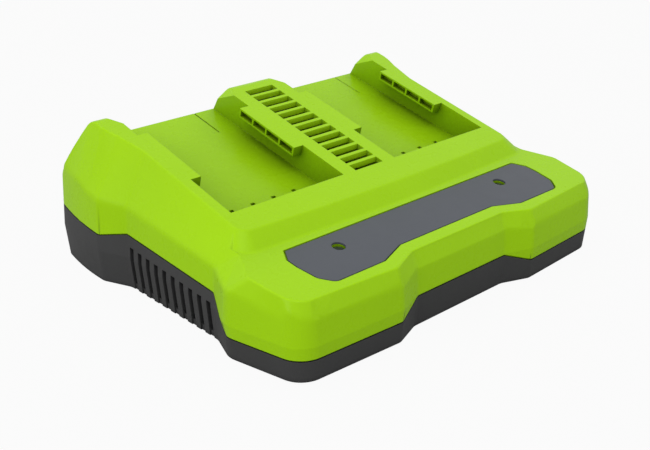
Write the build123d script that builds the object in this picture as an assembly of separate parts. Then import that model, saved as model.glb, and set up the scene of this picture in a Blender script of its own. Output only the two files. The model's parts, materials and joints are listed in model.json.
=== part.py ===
"""Twin-bay battery charger, built as it comes apart on a bench.

Units are millimetres. +Z is up, +X is to the right and +Y runs to the back, where
the two battery bays are open. The origin is the middle of the footprint, on the
surface that the rubber feet stand on. Everything is laid out from the front face.
"""
from build123d import *
import math
import os

# ---------------------------------------------------------------- driving dimensions
# Battery bays
bay_pitch = 94.0                # between the centre lines of the two bays
bay_half_width = 31.0
bay_length = 93.7               # from the front lip to where the floor runs out
bay_depth = 13.1                # below the deck, at the front lip
deck_height = 49.0              # above the table, at the bays' front lip
deck_tilt = 14.0                # degrees, rising to the back
floor_tilt = 13.0
guide_start = 27.5              # front end of the guide rails, behind the lip
guide_length = 40.0
guide_reach = 5.25              # how far a rail stands in from the bay's side
guide_thickness = 4.7
guide_pocket_count = 4
guide_pocket_height = 2.9
guide_pocket_depth = 3.0
guide_rib = 1.2
bay_bevel = 5.3                 # bevel at the back end of the bay's top edges
bay_bevel_length = 9.0
floor_groove_offset = 19.2      # short groove in the floor, right of the bay's centre
floor_groove_length = 20.0
floor_groove_width = 0.6
floor_groove_depth = 0.5

# Body, from front to back
console_depth = 42.3            # front face to the foot of the slope
slope_run = 6.7                 # the slope between the console and the deck
lip_land = 13.0                 # deck in front of the bays
back_margin = 16.3              # floor end to the back wall
console_height = 39.4           # console plane at the foot of the slope
console_tilt = 8.2
back_angle = 57.0               # the back face, from the horizontal
crest_radius = 5.0              # rounding between the deck and the back face
front_block_end = 3.3           # corner block's widest place, in front of the console's foot
side_wall_start = 10.7          # the straight side wall starts behind the foot
side_wall_length = 62.5
back_block_run = 14.0           # from the side wall out to the back corner block
back_block_length = 17.5

# Body, from the middle to the side
deck_land = 5.0                 # deck outside of each bay
deck_flare = 5.6                # how much wider the deck gets at the back
shoulder_run = 12.5             # deck edge to the side wall
side_bulge = 5.9                # the corner blocks stand out from the side wall
front_block_inset = 2.3         # front corner, in from the side wall
front_block_pinch = 0.6         # the front block is this much narrower than the back block
back_block_inset = 4.8          # back corner, in from the corner block

# Front recess
recess_half_width = 28.0
recess_run = 13.5
recess_depth = 5.2
front_sweep = 2.7               # the front face falls back towards its corners

# Shells
cover_wall = 2.6
base_wall = 2.4
widest_height = 16.0            # both shells draft inwards from this height
base_draft = 4.6
cover_draft = 3.6
chamfer_draft = 22.0            # front chamfer, from the vertical
chamfer_inset = 3.9             # console edge, in from the front face
edge_spread = 0.5               # the console's edge has a slightly wider recess
corner_radius = 12.0
corner_chamfer = 1.3            # the chamfer is narrower at the console's front corners
soft_radius = 6.0
back_radius = 8.0
seam_gap = 0.6                  # shadow groove between the shells
seam_depth = 1.0

# Sloping sides: at each place along the body, the ledge's edge and the crease below it.
# Columns: behind the console's foot, ledge edge and crease outside of the ledge edge's
# and the side wall's lines, crease above the front parting line.
crease_height = 15.6
ledge_line = 2.7                # the ledge's edge, in from the side wall
shoulder_points = [
    (-30.3, 0.0, -0.8, 0.0),
    (-18.3, 1.8, 2.0, 0.6),
    (-12.1, 1.6, 3.4, 2.6),
    (-5.3, 0.2, 4.0, 4.6),
    (2.7, -4.0, 2.0, 5.7),
]
crease_at_side_front = 6.9      # crease above the front crease, where the side wall starts
crease_at_side_back = 10.6
crease_at_block = 11.9
crease_at_block_back = 12.9
crease_at_back = 14.4
crease_back_inset = 7.7         # crease behind the body, in from the corner block

# Parting line of the two shells, above the table
seam_front = 10.0
seam_recess = 14.9
seam_side = 22.1
seam_side_rise = 4.5
seam_block = 23.5
seam_back = 26.4

# Louvres over the fan
louvre_count = 13
louvre_pitch = 6.1
louvre_half_width = 8.5
louvre_opening = 4.3
louvre_slit = 1.6

# Side vents
vent_count = 10
vent_pitch = 6.15
vent_width = 2.8
vent_foot = 2.6                 # solid edge below the slots
vent_head = 5.0                 # solid edge above the slots

# Label panel and indicators
panel_thickness = 1.2
panel_gap = 0.25
panel_half_width = 75.0
panel_back_gap = 4.9            # behind it, to the foot of the slope
panel_front_land = 5.8          # console in front of the panel
panel_corner_cut = 6.0
panel_back_cut = 3.6
panel_side_sweep = 1.4
panel_radius = 2.0
panel_inset = 0.15              # the panel lies this much below the console
indicator_offset = 50.7
indicator_from_foot = 14.1
indicator_radius = 3.0
indicator_rim = 0.7
light_pipe_recess = 3.4
light_pipe_clearance = 0.1
led_radius = 2.5
led_height = 7.0
led_collar = 1.0

# Terminals
slot_count = 4
slot_pitch = 11.6
slot_width = 1.8
slot_front = 2.0
slot_rear = 17.4
blade_thickness = 0.8
blade_height = 4.6              # above the bay's floor
blade_length = 6.0
blade_setback = 0.8             # behind the slot's front end
terminal_block_length = 18.0
terminal_margin = 4.0

# Base, board and fixings
foot_proud = 0.8
foot_radius = 6.0
foot_seat_depth = 1.0
board_height = 10.0
board_thickness = 1.6
board_side_gap = 5.5            # from the board to the screw towers beside it
board_margin = 4.0
post_radius = 3.6
hole_clearance = 0.4
screw_radius = 1.5
screw_head_radius = 2.8
screw_head_height = 2.2
cross_depth = 1.2
cross_width = 0.9
cross_reach = 2.0
case_screw_length = 16.0
board_screw_length = 6.0
boss_radius = 4.2
boss_wall = 2.0
boss_meeting_height = 17.0
tower_margin = 0.8              # the base's towers are wider than the cover's bosses
fit_gap = 0.2                   # between pieces that sit beside each other
screw_corner_inset = 1.5        # corner screws, outside of the deck's edge
screw_front_inset = 22.0
screw_back_inset = 17.0
middle_screw_front = 15.5
middle_screw_back = 11.0
foot_side_inset = 21.0          # feet, in from the deck's edge
foot_end_inset = 13.0
board_front_inset = 22.0
board_back_inset = 26.0
keyhole_pitch = 110.0
keyhole_head_radius = 4.5
keyhole_neck_radius = 2.2
keyhole_travel = 9.0
keyhole_setback = 20.0

# Fan
fan_size = 40.0
fan_depth = 15.0
fan_hole_inset = 4.0
fan_ceiling_gap = 2.5           # air space between the fan and the bays' floors above it
fan_corner_radius = 3.0
fan_tip_gap = 0.6
fan_wall = 1.2
fan_hub_radius = 9.5
fan_blade_count = 7
fan_blade_thickness = 1.2
fan_blade_angle = 38.0
fan_blade_margin = 0.6          # blades, in from both ends of the hub
fan_shaft_radius = 1.5
fan_bearing_wall = 1.0
fan_bearing_fit = 0.05          # running fit of the shaft
fan_strut_width = 3.0
fan_plate = 1.5
fan_running_gap = 0.8
fan_post_radius = 3.0
fan_screw_grip = 5.0            # how far the fan's screws reach into their posts
stator_poles = 4

# Electronics
transformer_offset = 44.0
transformer_setback = 17.0
core_width = 30.0
core_depth = 14.0
core_height = 24.0
core_leg = 8.0
core_yoke = 4.0
window_width = 7.0
bulk_can_radius = 8.0
bulk_can_height = 26.0
output_can_radius = 5.0
output_can_height = 16.0
can_groove = 0.8
can_margin = 1.0
heatsink_length = 30.0
heatsink_height = 19.0
heatsink_plate = 2.0
heatsink_fin_count = 7
heatsink_fin_reach = 6.0
heatsink_fin_thickness = 1.3
transistor_height = 15.0
transistor_width = 10.0
transistor_thickness = 4.6
choke_radius = 9.0
choke_wire = 3.0
choke_plate = 1.5
choke_sink = 0.5                # the ring is seated this deep in its plate
choke_setback = 5.0
fuse_length = 20.0
fuse_radius = 2.6
fuse_lift = 1.0
fuse_cap = 4.0
rectifier_width = 20.0
rectifier_height = 12.0
rectifier_thickness = 3.6
rectifier_gap = 3.0
chip_size = 9.0
chip_height = 1.6
chip_offset = 24.0

# Mains inlet
inlet_width = 20.5
inlet_height = 10.5
inlet_depth = 16.0
inlet_offset = 40.0
inlet_rim = 2.0
inlet_face_setback = 0.8
socket_radius = 3.2
inlet_pin_radius = 1.2
inlet_pin_pitch = 8.6
inlet_pin_setback = 3.0

# ---------------------------------------------------------------- derived places
body_depth = console_depth + slope_run + lip_land + bay_length + back_margin
front_y = -body_depth / 2
back_y = body_depth / 2
foot_y = front_y + console_depth
deck_y = foot_y + slope_run
lip_y = deck_y + lip_land
floor_end_y = lip_y + bay_length
bay_x = bay_pitch / 2
deck_x = bay_x + bay_half_width + deck_land
wall_x = deck_x + shoulder_run
block_x = wall_x + side_bulge
ledge_x = wall_x - ledge_line
front_corner_x = wall_x - front_block_inset
block_front_y = foot_y - front_block_end
side_front_y = foot_y + side_wall_start
side_back_y = side_front_y + side_wall_length
block_mid_y = side_back_y + back_block_run
block_back_y = block_mid_y + back_block_length
sides = (-1, 1)
base_floor = foot_proud + base_wall
board_top = board_height + board_thickness
over = 20.0                     # how far cutters run past what they cut
overlap = 1.0                   # how far joined pieces run into each other
deck_rise = math.tan(math.radians(deck_tilt))
floor_rise = math.tan(math.radians(floor_tilt))
console_rise = math.tan(math.radians(console_tilt))
back_fall = math.tan(math.radians(back_angle))
sky = deck_height + deck_rise * bay_length + over


def deck_z(y):
    """Height of the deck plane."""
    return deck_height + deck_rise * (y - lip_y)


def floor_z(y):
    """Height of the bays' floors."""
    return deck_height - bay_depth + floor_rise * (y - lip_y)


def console_z(y):
    """Height of the console, the ledge that carries the label panel."""
    return console_height + console_rise * (y - foot_y)


def back_z(y):
    """Height of the sloping back face."""
    return floor_z(floor_end_y) - back_fall * (y - floor_end_y)


def seam_z(y):
    """Height of the parting line along the side wall."""
    share = (y - side_front_y) / side_wall_length
    return seam_side + seam_side_rise * share


crest_y = floor_end_y + (floor_z(floor_end_y) - deck_z(floor_end_y)) / (deck_rise + back_fall)


# ---------------------------------------------------------------- helpers
def rounded_outline(corners):
    """A flat face from corners given as (x, y, radius)."""
    face = Polygon(*[(x, y) for x, y, radius in corners], align=None)
    for x, y, radius in corners:
        if radius > 0:
            corner = face.vertices().sort_by_distance((x, y, 0))[0]
            face = fillet(corner, radius=radius)
    return face


def mirrored(corners):
    """Corners of the right half, front to back, closed with their mirror images."""
    return corners + [(-x, y, radius) for x, y, radius in reversed(corners)]


def along_x(points, half_width, x=0.0):
    """A closed shape in the YZ plane, swept to both sides of x."""
    face = Plane.YZ * Polygon(*points, align=None)
    return Pos(x, 0, 0) * extrude(face, amount=half_width, both=True)


def along_y(points, start_y, end_y):
    """A closed shape in the XZ plane, swept from one Y to another."""
    middle = (start_y + end_y) / 2
    plane = Plane((0, middle, 0), x_dir=(1, 0, 0), z_dir=(0, -1, 0))
    return extrude(plane * Polygon(*points, align=None), amount=abs(end_y - start_y) / 2, both=True)


def block(x0, x1, y0, y1, z0, z1):
    """A box between two corners, given in any order."""
    size = (abs(x1 - x0), abs(y1 - y0), abs(z1 - z0))
    return Pos((x0 + x1) / 2, (y0 + y1) / 2, (z0 + z1) / 2) * Box(*size)


def rod(x, y, z0, z1, radius):
    """An upright cylinder."""
    return Pos(x, y, (z0 + z1) / 2) * Cylinder(radius, abs(z1 - z0))


def screw(x, y, seat_z, length, upwards):
    """A pan-head screw with a cross recess. Its head lies against seat_z."""
    way = 1 if upwards else -1
    outer_z = seat_z - way * screw_head_height
    cross_z = outer_z + way * cross_depth
    arms = [
        block(x - cross_reach, x + cross_reach, y - cross_width / 2, y + cross_width / 2, outer_z, cross_z),
        block(x - cross_width / 2, x + cross_width / 2, y - cross_reach, y + cross_reach, outer_z, cross_z),
    ]
    head = rod(x, y, seat_z, outer_z, screw_head_radius)
    return head + rod(x, y, seat_z, seat_z + way * length, screw_radius) - arms


def group(shapes):
    """Separate pieces that share one node."""
    return Compound(children=[solid for shape in shapes for solid in shape.solids()])


nodes = {}


# ---------------------------------------------------------------- the shells' outer form
def plan_outline():
    """The widest outline of the body, at widest_height."""
    return rounded_outline(mirrored([
        (recess_half_width, front_y + recess_depth, soft_radius),
        (recess_half_width + recess_run, front_y, soft_radius),
        (front_corner_x, front_y + front_sweep, corner_radius),
        (block_x - front_block_pinch, block_front_y, soft_radius),
        (wall_x, side_front_y, soft_radius),
        (wall_x, side_back_y, soft_radius),
        (block_x, block_mid_y, soft_radius),
        (block_x, block_back_y, soft_radius),
        (block_x - back_block_inset, back_y, back_radius),
    ]))


def console_outline():
    """The console's front edge; its sides and back run past the body."""
    edge_y = front_y + chamfer_inset
    return rounded_outline(mirrored([
        (recess_half_width + edge_spread, edge_y + recess_depth - edge_spread, soft_radius),
        (recess_half_width + recess_run + edge_spread, edge_y - edge_spread, soft_radius),
        (front_corner_x - corner_chamfer, edge_y + front_sweep - edge_spread, corner_radius),
        (block_x + over, foot_y, 0),
        (block_x + over, back_y + over, 0),
    ]))


outline = plan_outline()


def drafted_prism(inset):
    """The outline drawn in by the inset; it drafts inwards both ways from its widest height."""
    face = offset(outline, amount=-inset) if inset > 0 else outline
    face = Pos(0, 0, widest_height) * face
    low = extrude(face, amount=foot_proud - widest_height, taper=base_draft)
    return low + extrude(face, amount=sky - widest_height, taper=cover_draft)


def shoulder_loft(inset):
    """The sloping sides, as straight-sided sections across the body."""
    crease = seam_front + crease_height
    flared_x = deck_x + deck_flare
    first_crease_out = shoulder_points[0][2]
    stations = [(front_y - over, ledge_x, console_z(front_y), wall_x + first_crease_out, crease)]
    for behind, ledge_out, crease_out, crease_up in shoulder_points:
        y = foot_y + behind
        stations.append((y, ledge_x + ledge_out, console_z(y), wall_x + crease_out, crease + crease_up))
    half_block_y = (block_mid_y + block_back_y) / 2
    stations += [
        (side_front_y, deck_x, deck_z(side_front_y), wall_x, crease + crease_at_side_front),
        (side_back_y, deck_x, deck_z(side_back_y), wall_x, crease + crease_at_side_back),
        (block_mid_y, deck_x + deck_flare / 2, deck_z(block_mid_y), block_x, crease + crease_at_block),
        (half_block_y, flared_x, deck_z(half_block_y), block_x, crease + crease_at_block),
        (block_back_y, flared_x, deck_z(block_back_y), block_x, crease + crease_at_block_back),
        (back_y + over, flared_x - back_block_inset / 2, deck_z(back_y + over),
         block_x - crease_back_inset, crease + crease_at_back),
    ]
    sections = []
    for y, top_x, top_z, low_x, low_z in stations:
        run, drop = low_x - top_x, top_z - low_z
        slant = math.hypot(run, drop)
        across, down = inset * drop / slant, inset * run / slant
        rise = deck_z(y) + overlap - top_z + down
        high = (top_x - across - rise * run / drop, top_z - down + rise)
        wide = (low_x - across + shoulder_run * run / drop / 2, low_z - down - shoulder_run / 2)
        points = [high, wide, (wide[0], 0), (-wide[0], 0), (-wide[0], wide[1]), (-high[0], high[1])]
        plane = Plane((0, y, 0), x_dir=(1, 0, 0), z_dir=(0, -1, 0))
        sections.append(plane * Polygon(*points, align=None))
    return loft(sections, ruled=True)


def upper_profile(inset):
    """What lies under the console, the slope, the deck and the back face."""
    points = [
        (front_y - over, -2 * over),
        (front_y - over, console_z(front_y - over)),
        (foot_y, console_z(foot_y)),
        (deck_y, deck_z(deck_y)),
        (crest_y, deck_z(crest_y)),
        (back_y + over, back_z(back_y + over)),
        (back_y + over, -2 * over),
    ]
    face = Polygon(*points, align=None)
    crest = face.vertices().sort_by_distance((crest_y, deck_z(crest_y), 0))[0]
    face = fillet(crest, radius=crest_radius)
    if inset > 0:
        face = offset(face, amount=-inset, kind=Kind.INTERSECTION)
    return extrude(Plane.YZ * face, amount=block_x + over, both=True)


def console_form(inset):
    """The front chamfer: the console's edge, spreading downwards."""
    edge_height = console_z(front_y + chamfer_inset)
    edge = Pos(0, inset, edge_height - inset) * console_outline()
    low = extrude(edge, amount=-edge_height, taper=-chamfer_draft)
    return low + extrude(edge, amount=sky - edge_height)


def bay_bevels(inset):
    """Boxes that bevel the back ends of the bays' top edges."""
    boxes = []
    for centre in (-bay_x, bay_x):
        for side in sides:
            edge_x = centre + side * bay_half_width
            start = Vector(edge_x, crest_y - bay_bevel_length, deck_z(crest_y - bay_bevel_length))
            out = Vector(edge_x + side * bay_bevel, crest_y, deck_z(crest_y))
            below = Vector(edge_x, crest_y, deck_z(crest_y) - bay_bevel)
            normal = (out - start).cross(below - start).normalized() * side
            middle = (start + out + below) * (1 / 3) - normal * inset
            plane = Plane(middle, x_dir=(0, 0, 1), z_dir=normal)
            reach = 3 * bay_bevel_length
            boxes.append(plane.location * Pos(0, 0, over / 2) * Box(reach, reach, over))
    return boxes


def body_form(inset):
    """The whole body's outer form, or its hollow when given an inset."""
    form = shoulder_loft(inset) & drafted_prism(inset)
    form = form & upper_profile(inset) & console_form(inset)
    return form - bay_bevels(inset)


def lower_region(raise_by):
    """Everything under the parting line, which steps up at the sides and in the front recess."""
    side = [
        (front_y - over, -over),
        (front_y - over, seam_front),
        (block_front_y, seam_front),
        (side_front_y, seam_side),
        (side_back_y, seam_side + seam_side_rise),
        (block_mid_y, seam_block),
        (back_y, seam_back),
        (back_y + over, seam_back),
        (back_y + over, -over),
    ]
    recess = [
        (-recess_half_width - recess_run, -over),
        (-recess_half_width - recess_run, seam_front),
        (-recess_half_width, seam_recess),
        (recess_half_width, seam_recess),
        (recess_half_width + recess_run, seam_front),
        (recess_half_width + recess_run, -over),
    ]
    front = along_y(recess, front_y - over, front_y + recess_depth + 2 * base_wall)
    return Pos(0, 0, raise_by) * (along_x(side, block_x + over) + front)


body = body_form(0)
under_seam = lower_region(0)

corner_screw_x = deck_x + screw_corner_inset
screw_places = [(side * corner_screw_x, y) for side in sides
                for y in (front_y + screw_front_inset, back_y - screw_back_inset)]
screw_places += [(0, front_y + middle_screw_front), (0, back_y - middle_screw_back)]
screw_seat = boss_meeting_height - boss_wall
foot_places = [(side * (deck_x - foot_side_inset), y) for side in sides
               for y in (front_y + foot_end_inset, back_y - foot_end_inset)]
indicator_y = foot_y - indicator_from_foot
indicator_places = {"left": -indicator_offset, "right": indicator_offset}
bay_places = {"left": -bay_x, "right": bay_x}
light_pipe_base = board_top + led_height + fit_gap
board_half_width = corner_screw_x - boss_radius - tower_margin - board_side_gap
board_front_y = front_y + board_front_inset
board_back_y = back_y - board_back_inset
board_post_places = [(side * (board_half_width - board_margin), y) for side in sides
                     for y in (board_front_y + board_margin, board_back_y - board_margin)]
fan_y = lip_y + louvre_pitch * (louvre_count - 1) / 2
fan_hole_reach = fan_size / 2 - fan_hole_inset
fan_post_places = [(side * fan_hole_reach, fan_y + end * fan_hole_reach)
                   for side in sides for end in sides]
fan_top = floor_z(fan_y - fan_size / 2) - cover_wall - fan_ceiling_gap
fan_bottom = fan_top - fan_depth
inlet_z = base_floor + boss_wall + inlet_height / 2


# ---------------------------------------------------------------- top cover
def bay_space(centre, grow):
    """A bay's pocket, grown by a wall thickness for the pan around it."""
    points = [
        (lip_y - grow, floor_z(lip_y - grow) - grow),
        (lip_y - grow, sky),
        (back_y + over, sky),
        (back_y + over, floor_z(back_y + over) - grow),
    ]
    return along_x(points, bay_half_width + grow, centre)


def guide_rails(centre):
    """The two rails that hook over a battery's feet, with the pockets in their inner faces."""
    pocket_run = (guide_length - guide_rib * (guide_pocket_count + 1)) / guide_pocket_count
    inner_x = bay_half_width - guide_reach
    middle = -guide_thickness / 2
    rails = []
    for side in sides:
        pockets = []
        for index in range(guide_pocket_count):
            y = guide_start + guide_rib + index * (pocket_run + guide_rib)
            pockets.append(block(side * (inner_x - overlap), side * (inner_x + guide_pocket_depth),
                                 y, y + pocket_run,
                                 middle - guide_pocket_height / 2, middle + guide_pocket_height / 2))
        rail = block(side * inner_x, side * (bay_half_width + overlap),
                     guide_start, guide_start + guide_length, -guide_thickness, 0)
        rails.append(rail - pockets)
    tilt = math.radians(deck_tilt)
    deck = Plane((centre, lip_y, deck_height), x_dir=(1, 0, 0), z_dir=(0, -math.sin(tilt), math.cos(tilt)))
    return [deck.location * rail for rail in rails]


def terminal_slots(centre):
    """The floor slots that the terminal blades stand in."""
    low, high = floor_z(lip_y) - 2 * cover_wall, floor_z(lip_y) + bay_depth
    slots = []
    for x in blade_places(centre):
        slots.append(block(x - slot_width / 2, x + slot_width / 2,
                           lip_y + slot_front, lip_y + slot_rear, low, high))
    return slots


def blade_places(centre):
    """Centre lines of one bay's terminal blades."""
    return [centre + (index - (slot_count - 1) / 2) * slot_pitch for index in range(slot_count)]


def floor_groove(centre):
    """The short groove at the back of a bay's floor."""
    x = centre + floor_groove_offset
    start_y, end_y = floor_end_y - floor_groove_length, floor_end_y + over
    points = [
        (start_y, floor_z(start_y) - floor_groove_depth),
        (start_y, floor_z(start_y) + bay_depth),
        (end_y, floor_z(end_y) + bay_depth),
        (end_y, floor_z(end_y) - floor_groove_depth),
    ]
    return along_x(points, floor_groove_width / 2, x)


def louvre_slots():
    """The slots over the fan. Each has a sloping back wall that narrows it to a slit."""
    slots = []
    for index in range(louvre_count):
        y = lip_y + index * louvre_pitch
        slots.append(along_x([
            (y, deck_z(y) + overlap),
            (y, deck_z(y) - 2 * cover_wall),
            (y + louvre_slit, deck_z(y) - 2 * cover_wall),
            (y + louvre_slit, deck_z(y) - cover_wall),
            (y + louvre_opening, deck_z(y + louvre_opening)),
            (y + louvre_opening, deck_z(y + louvre_opening) + overlap),
        ], louvre_half_width))
    return slots


def panel_outline(grow):
    """The label panel's outline, seen from above."""
    back = foot_y - panel_back_gap + grow
    front = front_y + chamfer_inset + panel_front_land - grow
    half = panel_half_width + grow
    return rounded_outline(mirrored([
        (recess_half_width + 2 * edge_spread, front + recess_depth, panel_radius),
        (recess_half_width + recess_run + 3 * edge_spread, front, panel_radius),
        (half - panel_corner_cut, front, 2 * panel_radius),
        (half - panel_side_sweep, front + panel_corner_cut, 2 * panel_radius),
        (half, back - 2 * panel_corner_cut, panel_radius),
        (half, back - panel_corner_cut, panel_radius),
        (half - panel_back_cut, back, panel_radius / 2),
    ]))


def console_layer(face, top, bottom):
    """A layer of the console: an outline swept between two depths below its surface."""
    column = extrude(Pos(0, 0, base_floor) * face, amount=sky)
    ends = (front_y - over, foot_y + over)
    return column & along_x([
        (ends[0], console_z(ends[0]) - bottom),
        (ends[0], console_z(ends[0]) - top),
        (ends[1], console_z(ends[1]) - top),
        (ends[1], console_z(ends[1]) - bottom),
    ], block_x)


def build_top_cover():
    bosses = [rod(x, y, boss_meeting_height, sky, boss_radius) for x, y in screw_places]
    pipes = [rod(x, indicator_y, light_pipe_base, sky, indicator_radius + boss_wall)
             for x in indicator_places.values()]
    pans = [bay_space(centre, cover_wall) for centre in bay_places.values()]
    shell = body - body_form(cover_wall)
    shell = shell + [(piece & body) for piece in pans + bosses + pipes]
    shell = shell - [bay_space(centre, 0) for centre in bay_places.values()]
    shell = shell + [rail for centre in bay_places.values() for rail in guide_rails(centre)]
    cuts = louvre_slots()
    cuts.append(console_layer(panel_outline(panel_gap), -over, panel_thickness))
    for centre in bay_places.values():
        cuts += terminal_slots(centre)
        cuts.append(floor_groove(centre))
    cuts += [rod(x, indicator_y, 0, sky, indicator_radius) for x in indicator_places.values()]
    cuts += [rod(x, y, 0, screw_seat + case_screw_length, screw_radius) for x, y in screw_places]
    cuts.append(under_seam - bosses)
    cuts.append(lower_region(seam_gap) - drafted_prism(seam_depth))
    return shell - cuts


nodes["top_cover"] = build_top_cover()


def build_label_panel():
    panel = console_layer(panel_outline(0), panel_inset, panel_thickness)
    return panel - [rod(x, indicator_y, 0, sky, indicator_radius + indicator_rim)
                    for x in indicator_places.values()]


nodes["label_panel"] = build_label_panel()


# ---------------------------------------------------------------- base shell
def vent_slots():
    """The cooling slots through both side walls."""
    slots = []
    middle = (side_front_y + side_back_y) / 2
    for index in range(vent_count):
        y = middle + (index - (vent_count - 1) / 2) * vent_pitch
        for side in sides:
            slots.append(block(side * (wall_x - 3 * base_wall), side * (wall_x + over),
                               y - vent_width / 2, y + vent_width / 2,
                               foot_proud + vent_foot, seam_z(y) - vent_head))
    return slots


def keyhole(x, y):
    """A wall-hanging hole: a round opening with a narrow neck towards the front."""
    top = base_floor + overlap
    return [
        rod(x, y, 0, top, keyhole_head_radius),
        rod(x, y - keyhole_travel, 0, top, keyhole_neck_radius),
        block(x - keyhole_neck_radius, x + keyhole_neck_radius, y - keyhole_travel, y, 0, top),
    ]


def build_base_shell():
    lower = drafted_prism(0) & under_seam
    cavity = drafted_prism(base_wall) & block(-block_x, block_x, front_y, back_y, base_floor, sky)
    posts = [rod(x, y, foot_proud, boss_meeting_height, boss_radius + tower_margin)
             for x, y in screw_places]
    posts += [rod(x, y, foot_proud, board_height, post_radius) for x, y in board_post_places]
    posts += [rod(x, y, foot_proud, fan_bottom, fan_post_radius) for x, y in fan_post_places]
    cuts = vent_slots()
    cuts += [rod(x, y, 0, screw_seat, screw_head_radius + hole_clearance) for x, y in screw_places]
    cuts += [rod(x, y, 0, sky, screw_radius + hole_clearance / 2) for x, y in screw_places]
    cuts += [rod(x, y, board_height - board_screw_length, sky, screw_radius)
             for x, y in board_post_places]
    cuts += [rod(x, y, fan_bottom - fan_screw_grip, sky, screw_radius) for x, y in fan_post_places]
    cuts += [rod(x, y, 0, foot_proud + foot_seat_depth, foot_radius) for x, y in foot_places]
    for side in sides:
        cuts += keyhole(side * keyhole_pitch / 2, lip_y + keyhole_setback)
    half_w, half_h = inlet_width / 2, inlet_height / 2
    cuts.append(block(inlet_offset - half_w, inlet_offset + half_w, back_y - inlet_depth,
                      back_y + over, inlet_z - half_h, inlet_z + half_h))
    return lower - cavity + posts - cuts


nodes["base_shell"] = build_base_shell()
nodes["rubber_feet"] = group([rod(x, y, 0, foot_proud + foot_seat_depth, foot_radius)
                              for x, y in foot_places])
nodes["case_screws"] = group([screw(x, y, screw_seat, case_screw_length, True)
                              for x, y in screw_places])


# ---------------------------------------------------------------- circuit board
def build_main_board():
    board = block(-board_half_width, board_half_width, board_front_y, board_back_y,
                  board_height, board_top)
    holes = [rod(x, y, 0, sky, screw_radius + hole_clearance / 2) for x, y in board_post_places]
    holes += [rod(x, y, 0, sky, fan_post_radius + hole_clearance) for x, y in fan_post_places]
    return board - holes


nodes["main_circuit_board"] = build_main_board()
nodes["board_screws"] = group([screw(x, y, board_top, board_screw_length, False)
                               for x, y in board_post_places])


# ---------------------------------------------------------------- terminals
def blade(x, grow):
    """One upright terminal blade from the board to just above the bay's floor."""
    start_y = lip_y + slot_front + blade_setback - grow
    end_y = start_y + blade_length + 2 * grow
    return along_x([
        (start_y, board_top),
        (start_y, floor_z(start_y) + blade_height),
        (end_y, floor_z(end_y) + blade_height),
        (end_y, board_top),
    ], blade_thickness / 2, x)


def build_terminal_block(centre):
    """The insulating tower that holds a bay's blades, just clear of the pan above it."""
    reach = (slot_count - 1) / 2 * slot_pitch + terminal_margin
    start_y, end_y = lip_y + slot_front - terminal_margin / 2, lip_y + terminal_block_length
    tower = along_x([
        (start_y, board_top),
        (start_y, floor_z(start_y) - cover_wall - fit_gap),
        (end_y, floor_z(end_y) - cover_wall - fit_gap),
        (end_y, board_top),
    ], reach, centre)
    return tower - [blade(x, 0) for x in blade_places(centre)]


for hand, centre in bay_places.items():
    nodes["terminal_block_" + hand] = build_terminal_block(centre)
    nodes["terminal_blades_" + hand] = group([blade(x, 0) for x in blade_places(centre)])


# ---------------------------------------------------------------- indicators
def light_pipe(x):
    """A clear rod from the LED to just below the label panel."""
    column = rod(x, indicator_y, light_pipe_base, sky, indicator_radius - light_pipe_clearance)
    ends = (front_y - over, foot_y + over)
    return column & along_x([
        (ends[0], 0),
        (ends[0], console_z(ends[0]) - light_pipe_recess),
        (ends[1], console_z(ends[1]) - light_pipe_recess),
        (ends[1], 0),
    ], block_x)


def status_led(x):
    """A round LED with a collar, standing on the board."""
    body_top = board_top + led_height - led_radius
    dome = Pos(x, indicator_y, body_top) * Sphere(led_radius)
    dome = dome & rod(x, indicator_y, body_top, board_top + led_height, led_radius)
    return (rod(x, indicator_y, board_top, body_top, led_radius) + dome
            + rod(x, indicator_y, board_top, board_top + led_collar, led_radius + led_collar / 2))


for hand, x in indicator_places.items():
    nodes["light_pipe_" + hand] = light_pipe(x)
    nodes["status_led_" + hand] = status_led(x)


# ---------------------------------------------------------------- cooling fan
bearing_radius = fan_shaft_radius + fan_bearing_fit + fan_bearing_wall
tube_radius = bearing_radius + fan_wall
rotor_radius = fan_size / 2 - fan_wall - fan_tip_gap
rotor_top = fan_top - fan_wall
bearing_base = fan_bottom + fan_plate
bearing_top = rotor_top - fan_wall - 2 * fan_running_gap
stator_base = bearing_base + fan_running_gap
stator_top = bearing_top - fan_running_gap
stator_radius = fan_hub_radius - fan_wall - fan_running_gap


def build_fan_frame():
    """The square frame with its ring, hub plate, struts and bearing tube."""
    square = rounded_outline([
        (-fan_size / 2, -fan_size / 2, fan_corner_radius),
        (fan_size / 2, -fan_size / 2, fan_corner_radius),
        (fan_size / 2, fan_size / 2, fan_corner_radius),
        (-fan_size / 2, fan_size / 2, fan_corner_radius),
    ])
    frame = extrude(Pos(0, fan_y, fan_bottom) * square, amount=fan_depth)
    frame = frame - rod(0, fan_y, 0, sky, fan_size / 2 - fan_wall)
    struts = [
        block(-fan_size / 2 + fan_wall / 2, fan_size / 2 - fan_wall / 2,
              fan_y - fan_strut_width / 2, fan_y + fan_strut_width / 2, fan_bottom, bearing_base),
        block(-fan_strut_width / 2, fan_strut_width / 2, fan_y - fan_size / 2 + fan_wall / 2,
              fan_y + fan_size / 2 - fan_wall / 2, fan_bottom, bearing_base),
        rod(0, fan_y, fan_bottom, bearing_base, fan_hub_radius),
        rod(0, fan_y, fan_bottom, bearing_top, tube_radius),
    ]
    cuts = [rod(0, fan_y, bearing_base, sky, bearing_radius)]
    cuts += [rod(x, y, 0, sky, screw_radius + hole_clearance / 2) for x, y in fan_post_places]
    cuts += [rod(x, y, fan_screw_seat, sky, screw_head_radius + hole_clearance)
             for x, y in fan_post_places]
    return frame + struts - cuts


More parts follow.
